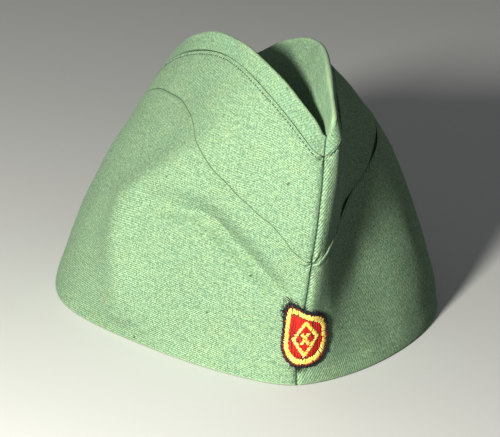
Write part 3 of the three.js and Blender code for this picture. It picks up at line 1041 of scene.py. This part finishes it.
@dataclass
class Curtain(HalfWall):
    """One half of the turned-up curtain, its upper edge turned in and its lower one folded at the rim."""

    middle_rows: int = 92
    edge_band: float = 3.0
    rim_band: float = 2.4
    rim_radius: float = 0.95
    edge_swell: float = 0.22
    edge_reach: float = 1.6      # of the roll of the pressed upper edge
    edge_depth: float = 0.65
    edge_thinning: float = 0.4   # of the cloth towards the upper edge
    edge_wear_and_highlight: float = 0.75      # how much lighter the upper edge is, worn and with painted highlight
    # the rim's fold is lighter in the same way, worn and with painted highlight
    rim_wear_and_highlight: float = 0.8
    painted_shade: float = 0.17        # how much painted shade darkens the deepest crease
    painted_shade_rise: float = 0.055  # how far above the crease's bottom the painted shade is darkest, as a share of the height
    prick: float = 0.14          # how dark the painted shade of the needle holes beside the upper edge is
    prick_pitch: float = 3.4
    lift: float = 0.55           # of the upper edge where it is loose
    lift_reach: float = 4.0

    def rows(self, u: np.ndarray) -> np.ndarray:
        """Heights v of the rows, columns by rows, close together at the rim and at the upper edge."""
        height = self.form.height(u)
        rim = graded(self.rim_band, fine=0.12, coarse=0.7, reach=1.0, both_ends=False)
        band = graded(self.edge_band, fine=0.07, coarse=0.7, reach=0.9, both_ends=False)[::-1]
        edge = self.edge(u)
        low = rim[None, :] / height[:, None]
        top = edge[:, None] - band[None, :] / height[:, None]
        share = np.linspace(0.0, 1.0, self.middle_rows + 2)[None, 1:-1]
        middle = low[:, -1:] + (top[:, :1] - low[:, -1:]) * share
        return np.concatenate([low, middle, top], axis=1)

    def build(self) -> bpy.types.Object:
        """Builds the curtain's wall with its relief and rounded edges."""
        u_line = self.columns()
        v = self.rows(u_line)
        u = np.broadcast_to(u_line[:, None], v.shape)
        face = self.base(u, v)
        out = self.form.outward(u, v)
        first, last, up, cloth = self.cloth_grid(face)
        below = up[:, -1:] - up
        face = face + out * (self.lift * self.gape(u) * bell(below, self.lift_reach))[..., None]
        swell = self.edge_swell * (1.0 - smooth(1.0, 3.0, below)) * smooth(0.0, 0.5, below)
        seams = self.seam_relief(first, last, up, (-below,)) + self.nap(up.shape)
        relief = (seams * smooth(0.0, 1.5, up) + swell - rolled(below, self.edge_reach, self.edge_depth)
                  - rounded(up, self.rim_radius))
        outer = face + out * relief[..., None]
        inner = face - out * (CLOTH - self.edge_thinning * (1.0 - smooth(0.0, 1.2, below)))[..., None]
        # Painted shade at the front and rear seams, along the crease and in the needle holes; the upper edge
        # and the rim's fold are lighter, worn and with painted highlight
        groove = np.clip(np.minimum(first, last) / 0.7, 0.0, 1.0)
        edges = np.maximum(self.edge_wear_and_highlight * (1.0 - smooth(0.1, 0.8, below)),
                           self.rim_wear_and_highlight * (1.0 - smooth(0.4, 1.4, up)))
        pricks = np.clip(np.sin(2 * math.pi * first / self.prick_pitch), 0.0, 1.0) * bell(below - 0.45, 0.35)
        slope = self.form.side(u, np.clip(v - self.painted_shade_rise, 0.0, 1.0))
        plain = 0.5 - self.painted_shade * self.form.nearness(slope, CREASES[0]) - self.prick * pricks
        weaver = Weaver()
        wall(weaver, outer, inner, cloth, np.where(groove < 1.0, groove * plain, plain + 0.5 * edges))
        return weaver.finish(f"curtain_cloth_{self.half.side}")


@dataclass
class CrownTop:
    """The top piece: a strip up to each ridge, the ridges' folds and the deep fold between them."""

    form: CapForm
    fold_rows: int = 12
    valley_rows: int = 22
    column_pitch: float = 0.75
    seam_radius: float = 0.7
    ridge_lip: float = 0.3
    worn: float = 0.3            # how much lighter the folded edge is worn
    pucker: float = 0.08
    pucker_pitch: float = 2.9
    nap: float = 1.4 * NAP

    def columns(self) -> np.ndarray:
        """Places u all round, the same on both halves, close together at the front and the rear."""
        dense = np.linspace(0.0, HALF_COUNT, DENSE)
        reach = run_length(self.form.ridge(dense), 0)
        spots = graded(reach[-1], fine=0.1, coarse=self.column_pitch, reach=2.5)
        there = np.interp(spots, reach, dense)
        return np.concatenate([there, SECTION_COUNT - there[-2:0:-1]])

    def lines(self, u: np.ndarray, depth: float) -> np.ndarray:
        """Profiles from the ridge seam up the strip, over the ridge and down to the bottom of the fold.

        The strip is straight, the ridge half a circle of the fold's radius less depth, and the wall of the
        fold a straight line to the valley, where the hidden face ends lower.

        Args:
            u: places round the cap.
            depth: 0 for the face that shows, and the cloth's thickness for the hidden one.

        Returns:
            Points, columns by rows.
        """
        fold_share = FOLD_RADIUS / STRIP_WIDTH
        drop = graded(STRIP_WIDTH * (1 - fold_share) - LIP_GAP / 2, fine=0.1, coarse=0.75, reach=1.2,
                      both_ends=False)
        down = (1.0 - (drop + LIP_GAP / 2) / STRIP_WIDTH)[None, :-1]
        columns = u[:, None]
        through = np.repeat(self.form.strip_outward(u)[:, None], down.shape[1], axis=1)
        through[:, 0] = self.form.outward(u, np.ones_like(u))
        strip = self.form.strip(columns, down) - through * depth
        outward = self.form.level_outward("ridge_x", "ridge_y", u)[:, None]
        middle = self.form.strip(columns, np.full((1, 1), fold_share)) - outward * FOLD_RADIUS
        turn = np.linspace(0.0, math.pi, self.fold_rows + 1)[None, :, None]
        up = upright(np.array(1.0))
        fold = middle + (outward * np.cos(turn) + up * np.sin(turn)) * (FOLD_RADIUS - depth)
        bottom = self.form.valley.at(u)[:, None] - up * (depth / CLOTH * FOLD_DEPTH)
        share = np.linspace(0.0, 1.0, self.valley_rows + 1)[None, 1:, None]
        inside = fold[:, -1:] + (bottom - fold[:, -1:]) * share
        return np.concatenate([strip, fold, inside], axis=1)

    def build(self) -> bpy.types.Object:
        """Builds the top as one closed wall whose two facing halves join along the bottom of the fold."""
        u = self.columns()
        outer = self.lines(u, 0.0)
        inner = self.lines(u, CLOTH)
        up = run_length(outer, 1)
        around = np.concatenate([outer, outer[:1]], axis=0)
        along = run_length(around, 0)
        to_front = np.minimum(along[:-1], along[-1:] - along[:-1])
        relief = self.relief(outer, up, to_front)
        facing = unit(np.cross(np.gradient(outer, axis=1),
                               (np.roll(outer, -1, axis=0) - np.roll(outer, 1, axis=0))))
        outer = outer + facing * relief[..., None]
        strip_rows = outer.shape[1] - self.valley_rows
        level = up[:, strip_rows - self.fold_rows // 2][:, None]
        # The folded edge is lighter where worn; painted shade at the ridge seam and at the front seam
        worn = 0.5 + self.worn * bell(up - level, 1.6)
        wear_and_painted_light = np.clip(np.minimum(0.45 + up / 0.6, to_front / 0.4), 0.0, 1.0) * worn
        weaver = Weaver()
        half = len(u) // 2
        cloth = np.stack([along, np.concatenate([up, up[:1]], axis=0)], axis=-1)
        wear_and_painted_light = np.concatenate([wear_and_painted_light, wear_and_painted_light[:1]], axis=0)
        faces = [np.concatenate([grid, grid[:1]], axis=0) for grid in (outer, inner)]
        shown = weaver.corners(faces[0], cloth, wear_and_painted_light)
        hidden = weaver.corners(faces[1], cloth, wear_and_painted_light)
        for numbers in (shown, hidden):
            weaver.weld(numbers[-1], numbers[0])
            weaver.weld(numbers[half + 1:-1, -1], numbers[half - 1:0:-1, -1])
        weaver.grid(shown)
        weaver.grid(hidden[:, ::-1])
        weaver.grid(np.stack([hidden[:, 0], shown[:, 0]], axis=1))
        return weaver.finish("top_cloth")

    def relief(self, points: np.ndarray, up: np.ndarray, to_front: np.ndarray) -> np.ndarray:
        """Relief of the top: the lip at the ridge seam, the short seam at the front with its puckers, a slow
        wave along the folded edge and the cloth's nap, which fade out towards the bottom of the fold."""
        fade = 1.0 - smooth(0.75, 1.0, up / up[:, -1:])
        wave = sway(points[..., 1], (0.22, 9.7, 0.4), (0.16, 4.3, 2.0))
        inside = smooth(STRIP_WIDTH * 0.6, STRIP_WIDTH + 2.0, up)
        pucker = self.pucker * np.sin(up * 2 * math.pi / self.pucker_pitch) * bell(to_front, 3.5)
        seam = rounded(to_front, self.seam_radius) * (1.0 - smooth(STRIP_WIDTH, STRIP_WIDTH + 8.0, up))
        nap = np.random.default_rng(SEED + 20).normal(0.0, self.nap, up.shape)
        return fade * (wave * (0.3 + 0.7 * inside) + pucker + nap) - rounded(up, self.ridge_lip) - seam


@dataclass
class Cockade:
    """Embroidered patch over the front seam, with a slanting top and a narrower round bottom: an overlocked
    black edge, a gold ring, and on a red field a gold lozenge round a small four-petalled flower. Places on
    it are a, across, and b, upwards."""

    form: CapForm
    width: float = 19.0
    height: float = 24.0
    middle: float = 0.195        # height v of its middle
    aside: float = -1.5          # of its middle from the seam, towards the wearer's left
    back: float = LAYER_GAP / 2  # from the curtain to the back of the patch
    thickness: float = 1.0
    crown: float = 0.55
    top_power: float = 5.5
    bottom_power: float = 2.2
    slant: float = 0.48          # of the top edge, which rises towards the wearer's right
    turn: float = math.radians(-3.0)
    ground_columns: int = 96
    ring: tuple[float, float] = (0.72, 0.92)     # sizes of the outlines that it lies between
    ring_stitches: int = 180
    ring_thread: float = 0.48
    line_thread: float = 0.45    # of the red line outside the ring
    field_pitch: float = 0.4
    lozenge: tuple[float, float] = (4.9, 7.3)    # half its width and half its height
    lozenge_bar: float = 1.6
    lozenge_thread: float = 0.42
    petal: tuple[float, float] = (0.5, 2.7)      # from the patch's middle to its start and its end
    petal_bar: float = 1.5
    petal_thread: float = 0.36
    satin_points: int = 9        # along a satin stitch or a loose end
    uneven: float = 0.17         # how far the ends of satin stitches stray
    outline_points: int = 2000   # along which the outline is measured
    loop_pitch: float = 0.5      # of the overlocked edge
    loop_reach: float = 1.25     # how far its loops reach inwards
    loop_thread: float = 0.5
    loop_points: int = 11
    loop_size: float = 1.02      # size of the outline on which the loops turn down
    loop_rise: float = 0.34
    loop_slant: float = 0.035    # radians of the outline that a loop crosses
    loop_uneven: tuple[float, float, float] = (0.12, 0.25, 0.02)     # of their places, reach and size
    end_thread: float = 0.22     # of the loose ends
    end_reach: tuple[float, float] = (0.9, 3.0)
    end_rise: float = 0.8
    end_bend: float = 0.09       # radians of the outline that an end bends aside
    tuft_spread: float = 0.12    # radians of the outline over which a tuft's ends stray
    # Where tufts of loose ends leave the edge, in degrees, and how many ends each has
    tufts: tuple[tuple[float, int], ...] = ((112.0, 18), (84.0, 9), (62.0, 9), (40.0, 16), (283.0, 11))
    random: np.random.Generator = field(default_factory=lambda: np.random.default_rng(SEED + 40))

    def __post_init__(self) -> None:
        """Works out how far a millimetre of the patch goes in u and v."""
        half, level = np.array([-0.5, 0.5]), np.array([self.middle, self.middle])
        ends = self.form.side(half, level)
        self.across = float(np.linalg.norm(ends[1] - ends[0]))
        self.upward = float(self.form.height(np.array([0.0]))[0])

    def size(self, a: np.ndarray, b: np.ndarray) -> np.ndarray:
        """How far out a place lies: 0 in the middle and 1 on the patch's outline, from the sum of powers of
        a / half width and b / half height, whose power is larger above the middle, where b is slanted."""
        power = np.where(b > 0, self.top_power, self.bottom_power)
        level = np.where(b > 0, b - self.slant * a, b)
        total = np.abs(2 * a / self.width) ** power + np.abs(2 * level / self.height) ** power
        return total ** (1 / power)

    def outline(self, angle: np.ndarray, size: np.ndarray | float) -> np.ndarray:
        """Places (a, b) at the angles on the outline drawn at a size."""
        a, b = np.cos(angle) * self.width / 2, np.sin(angle) * self.height / 2
        reach = size / self.size(a, b)
        return np.stack([a * reach, b * reach], axis=-1)

    def top(self, places: np.ndarray) -> np.ndarray:
        """Height of the patch's ground cloth: thickness plus a crown that falls off as size squared."""
        size = np.clip(self.size(places[..., 0], places[..., 1]), 0.0, 1.0)
        return self.thickness + self.crown * (1.0 - size**2) - rounded(12.0 * (1.0 - size), 0.5)

    def on_cap(self, places: np.ndarray, lift: np.ndarray) -> tuple[np.ndarray, np.ndarray]:
        """Puts places (a, b) of the patch, lifted off the curtain, on the cap.

        Returns:
            Their points, and the unit vectors out of the cap there.
        """
        a = places[..., 0] * math.cos(self.turn) - places[..., 1] * math.sin(self.turn)
        b = places[..., 0] * math.sin(self.turn) + places[..., 1] * math.cos(self.turn)
        u = (a + self.aside) / self.across
        v = self.middle + b / self.upward
        out = self.form.outward(u, v)
        return self.form.side(u, v) + out * (lift + self.form.softness(u, v))[..., None], out

    def satin(self, weaver: Weaver, start: np.ndarray, end: np.ndarray, lift: float, thread: float) -> None:
        """Adds satin stitches from start to end places, each an arch that stands lift above the ground, of a
        thread a little wider than it is high, with its ends sunk in the ground."""
        t = np.linspace(0.0, 1.0, self.satin_points)
        start = start + self.random.normal(0.0, self.uneven, start.shape)
        end = end + self.random.normal(0.0, self.uneven, end.shape)
        places = start[:, None] + (end - start)[:, None] * t[None, :, None]
        arch = np.clip(np.sin(math.pi * t), 0.0, 1.0) ** 0.5
        paths, out = self.on_cap(places, self.top(places) + lift * arch[None, :] - 0.1)
        tone = self.random.uniform(0.15, 1.0, len(start))
        strands(weaver, paths, out, thread / 2 * 1.12, thread / 2, tone)

    def satin_ring(self, weaver: Weaver, sizes: tuple[float, float], twist: float, lift: float,
                   thread: float) -> None:
        """Adds a ring of satin stitches between the outlines drawn at two sizes, each stitch turned by twist
        round the patch on its way out."""
        angle = np.linspace(0.0, 2 * math.pi, self.ring_stitches + 1)[:-1]
        start, end = self.outline(angle, sizes[0]), self.outline(angle + twist, sizes[1])
        self.satin(weaver, start, end, lift, thread)

    def bar(self, weaver: Weaver, start: tuple[float, float], end: tuple[float, float], width: float,
            thread: float) -> None:
        """Adds a satin-stitched bar whose stitches lie across the line from start to end, a little less than
        a thread apart and with a slight slant."""
        first, last = np.array(start), np.array(end)
        run = last - first
        length = float(np.linalg.norm(run))
        count = max(3, round(length / (thread * 0.92)))
        middle = first + run * np.linspace(0.0, 1.0, count)[:, None]
        cross = np.array([-run[1], run[0]]) / length * width / 2
        slant = run / length * 0.25
        self.satin(weaver, middle - cross - slant, middle + cross + slant, 0.5, thread)

    def build_ground(self) -> bpy.types.Object:
        """Builds the ground cloth of the patch, a closed slab of rings from its outline, where they lie close
        together, to its middle."""
        angle = np.linspace(0.0, 2 * math.pi, self.ground_columns + 1)[:-1]
        size = 1.0 - np.concatenate([np.linspace(0.0, 0.1, 6), np.linspace(0.1, 1.0, 14)[1:-1]])
        places = self.outline(angle[:, None], size[None, :])
        above, _ = self.on_cap(places, self.top(places))
        below, _ = self.on_cap(places, np.full(places.shape[:-1], self.back))
        weaver = Weaver()
        grids = []
        for grid in (above, below):
            closed = np.concatenate([grid, grid[:1]], axis=0)
            flat = np.concatenate([places, places[:1]], axis=0)
            numbers = weaver.corners(closed, flat, np.full(closed.shape[:-1], 0.5))
            weaver.weld(numbers[-1], numbers[0])
            grids.append(numbers)
        weaver.grid(grids[0][::-1])
        weaver.grid(grids[1])
        weaver.grid(np.stack([grids[1][:, 0], grids[0][:, 0]], axis=1)[::-1])
        centre = np.zeros((1, 2))
        for numbers, lift, turned in ((grids[0], self.top(centre), False),
                                      (grids[1], np.array([self.back]), True)):
            middle, _ = self.on_cap(centre, lift)
            pole = weaver.corners(middle, centre, np.array([0.5]))
            poles = np.broadcast_to(pole, len(angle))
            pair = (numbers[:-1, -1], numbers[1:, -1])
            weaver.face(poles, *(pair[::-1] if turned else pair))
        return weaver.finish("cockade_ground")

    def build_edge(self) -> bpy.types.Object:
        """Builds the overlocked edge: slanting loops from the patch's face over its edge and down to the
        curtain, with a few loose thread ends."""
        turns = np.linspace(0.0, 2 * math.pi, self.outline_points)
        length = run_length(self.outline(turns, 1.0), 0)
        count = round(length[-1] / self.loop_pitch)
        aside, longer, larger = self.loop_uneven
        at = length[-1] * (np.arange(count) + self.random.normal(0.0, aside, count)) / count
        angle = np.interp(np.mod(at, length[-1]), length, turns)
        t = np.linspace(0.0, 1.0, self.loop_points)
        reach = (self.loop_reach + self.random.normal(0.0, longer, count))[:, None]
        inward = reach * np.clip(1 - t / 0.75, 0.0, 1.0)
        size = self.loop_size + self.random.normal(0.0, larger, count)[:, None] - inward / (self.width / 2)
        places = self.outline(angle[:, None] + self.loop_slant * (t - 0.5)[None, :], size)
        edge_top = self.top(self.outline(angle, 0.93))[:, None]
        arch = self.loop_rise * np.sin(math.pi * np.clip(t / 0.8, 0.0, 1.0))[None, :]
        lift = np.where(t[None, :] < 0.7, edge_top + arch - 0.12,
                        (edge_top + arch) * (1 - smooth(0.7, 1.0, t))[None, :] + 0.05)
        paths, out = self.on_cap(places, lift)
        centre, _ = self.on_cap(np.zeros((1, 2)), np.zeros(1))
        tilt = smooth(0.6, 0.95, t)[None, :, None]
        up = unit(out * (1 - tilt) + unit(paths - centre) * tilt)
        weaver = Weaver()
        tone = self.random.uniform(0.0, 1.0, count)
        strands(weaver, paths, up, self.loop_thread / 2, self.loop_thread / 2, tone)
        self.loose_ends(weaver)
        return weaver.finish("cockade_edge")

    def loose_ends(self, weaver: Weaver) -> None:
        """Adds loose thread ends, which leave the edge near a few spots and curl as they rise."""
        degrees, counts = zip(*self.tufts)
        spots = np.repeat(np.radians(degrees), counts)
        angle = spots + self.random.normal(0.0, self.tuft_spread, len(spots))
        t = np.linspace(0.0, 1.0, self.satin_points)[None, :]
        reach = self.random.uniform(*self.end_reach, len(spots))[:, None]
        bend = self.random.normal(0.0, self.end_bend, len(spots))[:, None]
        places = self.outline(angle[:, None] + bend * t**2, 0.97 + t * reach / (self.height / 2))
        rise = self.end_rise * self.random.uniform(0.3, 1.0, len(spots))[:, None]
        lift = self.thickness + rise * np.sin(math.pi * t * 0.8)
        paths, out = self.on_cap(places, lift)
        tone = self.random.uniform(0.0, 1.0, len(spots))
        strands(weaver, paths, out, self.end_thread / 2, self.end_thread / 2, tone)

    def half_height(self, a: np.ndarray, size: float, power: float) -> np.ndarray:
        """Height from the middle to the outline drawn at a size, at the places a."""
        rise = np.clip(size**power - np.abs(2 * a / self.width) ** power, 0.0, 1.0)
        return self.height / 2 * rise ** (1 / power)

    def build_field(self) -> bpy.types.Object:
        """Builds the red field of upright satin stitches in two staggered rows, and the red line outside
        the gold ring."""
        weaver = Weaver()
        pitch = self.field_pitch
        inner = self.ring[0] + 0.03
        count = int(self.width * inner / pitch)
        a = (np.arange(count) - (count - 1) / 2) * pitch
        bottom = self.half_height(a, inner, self.bottom_power)
        top = self.half_height(a, inner, self.top_power) + self.slant * a
        split = np.minimum(bottom, top) * self.random.uniform(-0.25, 0.25, count)
        for low, high in ((-bottom, split), (split, top)):
            self.satin(weaver, np.stack([a, low], -1), np.stack([a, high], -1), 0.22, pitch * 1.15)
        line = (self.ring[1] - 0.02, self.ring[1] + 0.08)
        self.satin_ring(weaver, line, 0.01, 0.2, self.line_thread)
        return weaver.finish("cockade_field")

    def build_gold(self) -> bpy.types.Object:
        """Builds the gold ring, the lozenge and the flower in satin stitch."""
        weaver = Weaver()
        self.satin_ring(weaver, self.ring, 0.06, 0.42, self.ring_thread)
        wide, high = self.lozenge
        tips = [(0.0, high), (wide, 0.0), (0.0, -high), (-wide, 0.0)]
        for start, end in zip(tips, tips[1:] + tips[:1]):
            self.bar(weaver, start, end, self.lozenge_bar, self.lozenge_thread)
        for turn in np.radians([60.0, 120.0, 240.0, 300.0]):
            start, end = ((reach * math.cos(turn), reach * math.sin(turn)) for reach in self.petal)
            self.bar(weaver, start, end, self.petal_bar, self.petal_thread)
        return weaver.finish("cockade_gold")


def seen_from(turn: float, rise: float) -> Vector:
    """Unit vector out of the cap, turned from its front towards the wearer's left and raised."""
    return Vector((math.sin(turn) * math.cos(rise), -math.cos(turn) * math.cos(rise), math.sin(rise)))


@dataclass(frozen=True)
class Camera:
    """The view of the photograph: its turn round the cap, its height, roll, distance and lens."""

    azimuth: float = math.radians(-24.09)
    elevation: float = math.radians(21.91)
    roll: float = math.radians(4.505)
    distance: float = 1257.8
    focal_pixels: float = 2785.3
    image_width: float = 500.0
    sensor_width: float = 36.0
    aim_right: float = 1.579
    aim_up: float = 34.074

    def build(self) -> None:
        """Makes the camera, which looks at a point beside the cap's middle from outside and above."""
        back = seen_from(self.azimuth, self.elevation)
        right = Vector((math.cos(self.azimuth), math.sin(self.azimuth), 0.0))
        up = back.cross(right)
        rolled = right * math.cos(self.roll) + up * math.sin(self.roll)
        tall = back.cross(rolled)
        place = right * self.aim_right + Vector((0.0, 0.0, self.aim_up)) + back * self.distance
        data = bpy.data.cameras.new("camera")
        data.sensor_width = self.sensor_width
        data.lens = self.focal_pixels * self.sensor_width / self.image_width
        camera = bpy.data.objects.new("camera", data)
        axes = Matrix((rolled, tall, back)).transposed().to_4x4()
        camera.matrix_world = Matrix.Translation(place * MM) @ axes
        bpy.context.scene.collection.objects.link(camera)
        bpy.context.scene.camera = camera


@dataclass(frozen=True)
class Studio:
    """A pale floor, which doesn't light the cap, one soft key light in front on the wearer's right and a low
    even fill."""

    key_azimuth: float = math.radians(-48.8)
    key_elevation: float = math.radians(19.5)
    key_target: tuple[float, float, float] = (0.0, -40.0, 115.0)
    key_distance: float = 850.0
    key_size: float = 0.11
    key_power: float = 13.5
    key_colour: tuple[float, float, float] = (1.0, 0.99, 0.93)
    fill_colour: tuple[float, float, float] = (0.95, 0.97, 1.0)
    fill_strength: float = 0.18
    contrast: float = 1.2        # power that the picture's brightness is raised to
    floor_size: float = 8.0

    def build(self) -> None:
        """Makes the floor and the lights, and sets plain colours for the picture."""
        scene = bpy.context.scene
        scene.view_settings.view_transform = "Standard"
        scene.view_settings.look = "None"
        scene.view_settings.gamma = 1.0 / self.contrast
        half = self.floor_size / 2
        corners = [(-half, -half, 0.0), (half, -half, 0.0), (half, half, 0.0), (-half, half, 0.0)]
        mesh = bpy.data.meshes.new("floor")
        mesh.from_pydata(corners, [], [(0, 1, 2, 3)])
        floor = bpy.data.objects.new("floor", mesh)
        mesh.materials.append(FloorFinish().make())
        scene.collection.objects.link(floor)
        floor.visible_diffuse = False
        light = bpy.data.lights.new("key", "AREA")
        light.shape = "DISK"
        light.size = self.key_size
        light.energy = self.key_power
        light.color = self.key_colour
        key = bpy.data.objects.new("key", light)
        back = seen_from(self.key_azimuth, self.key_elevation)
        place = (Vector(self.key_target) + back * self.key_distance) * MM
        key.matrix_world = Matrix.Translation(place) @ back.to_track_quat("Z", "Y").to_matrix().to_4x4()
        scene.collection.objects.link(key)
        world = bpy.data.worlds.new("fill")
        world.use_nodes = True
        ground = world.node_tree.nodes["Background"]
        ground.inputs["Color"].default_value = (*self.fill_colour, 1.0)
        ground.inputs["Strength"].default_value = self.fill_strength
        scene.world = world


# Places u where the curtain's upper edge stands off the crown, with the reach to each side
GAPES = ((-3.17, 0.26), (-1.88, 0.28))
# The crease pressed into the curtain, from behind down to the cockade, and the crest that bows behind it
CREASE_LINE = ((3.6, 0.478), (3.24, 0.505), (2.84, 0.53), (2.51, 0.52), (2.24, 0.492), (1.53, 0.417),
               (0.95, 0.365), (0.68, 0.33))
CREST_LINE = ((3.0, 0.05), (3.3, 0.2), (3.6, 0.33), (3.8, 0.45), (3.5, 0.6), (3.0, 0.85))
# The crease and the hollow round it, the crest and its top, and two swellings along the front seam
CREASES = (
    Crease(CREASE_LINE, 3.9, 3.9),
    Crease(CREASE_LINE, 1.4, 11.0),
    Crease(CREST_LINE, -2.8, 15.0),
    Crease(CREST_LINE, -2.0, 8.0),
    Crease(((-0.14, 0.16), (-0.14, 0.6), (-0.14, 1.0)), -2.0, 5.2),
    Crease(((-0.2, 0.06), (-0.2, 0.3), (-0.2, 0.54)), -1.3, 6.0),
)
# Broad dents and humps, three on the left half and four on the right
SWELLS = (
    Swell(-3.1, 0.45, 1.1, 0.22, -3.8),
    Swell(-2.0, 0.74, 0.65, 0.2, 3.2),
    Swell(-1.7, 0.14, 0.9, 0.2, -2.0),
    Swell(1.9, 0.55, 0.9, 0.2, -1.8),
    Swell(1.8, 0.16, 1.0, 0.16, -1.5),
    Swell(3.1, 0.2, 0.7, 0.2, 1.6),
    Swell(4.2, 0.8, 0.8, 0.2, -3.2),
)


def main() -> None:
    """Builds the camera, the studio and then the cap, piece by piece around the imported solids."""
    logging.basicConfig(level=logging.INFO, format="%(name)s: %(message)s")
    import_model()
    Camera().build()
    Studio().build()
    form = CapForm(CREASES, SWELLS)
    twill = TwillFinish("sage_twill").make()
    curtain_twill = TwillFinish("sage_twill_curtain").make()
    seam_thread = SEAM_THREAD.make()
    for half in Half:
        panel = SidePanel(form, half)
        dress(panel.build(), twill, "twill", f"side_panel_{half.side}")
        dress(panel.build_stitches(), seam_thread, "twill")
        dress(Curtain(form, half).build(), curtain_twill, "curtain_twill", f"curtain_{half.side}")
    top_twill = TwillFinish("sage_twill_top", rib_weight=0.25).make()
    dress(CrownTop(form).build(), top_twill, "twill", "crown_top")
    black = BLACK_THREAD.make()
    red = RED_THREAD.make()
    gold = GOLD_THREAD.make()
    cockade = Cockade(form)
    dress(cockade.build_ground(), black, "embroidery", "cockade")
    dress(cockade.build_edge(), black, "embroidery")
    dress(cockade.build_field(), red, "embroidery")
    dress(cockade.build_gold(), gold, "embroidery")


if __name__ == "__main__":
    main()
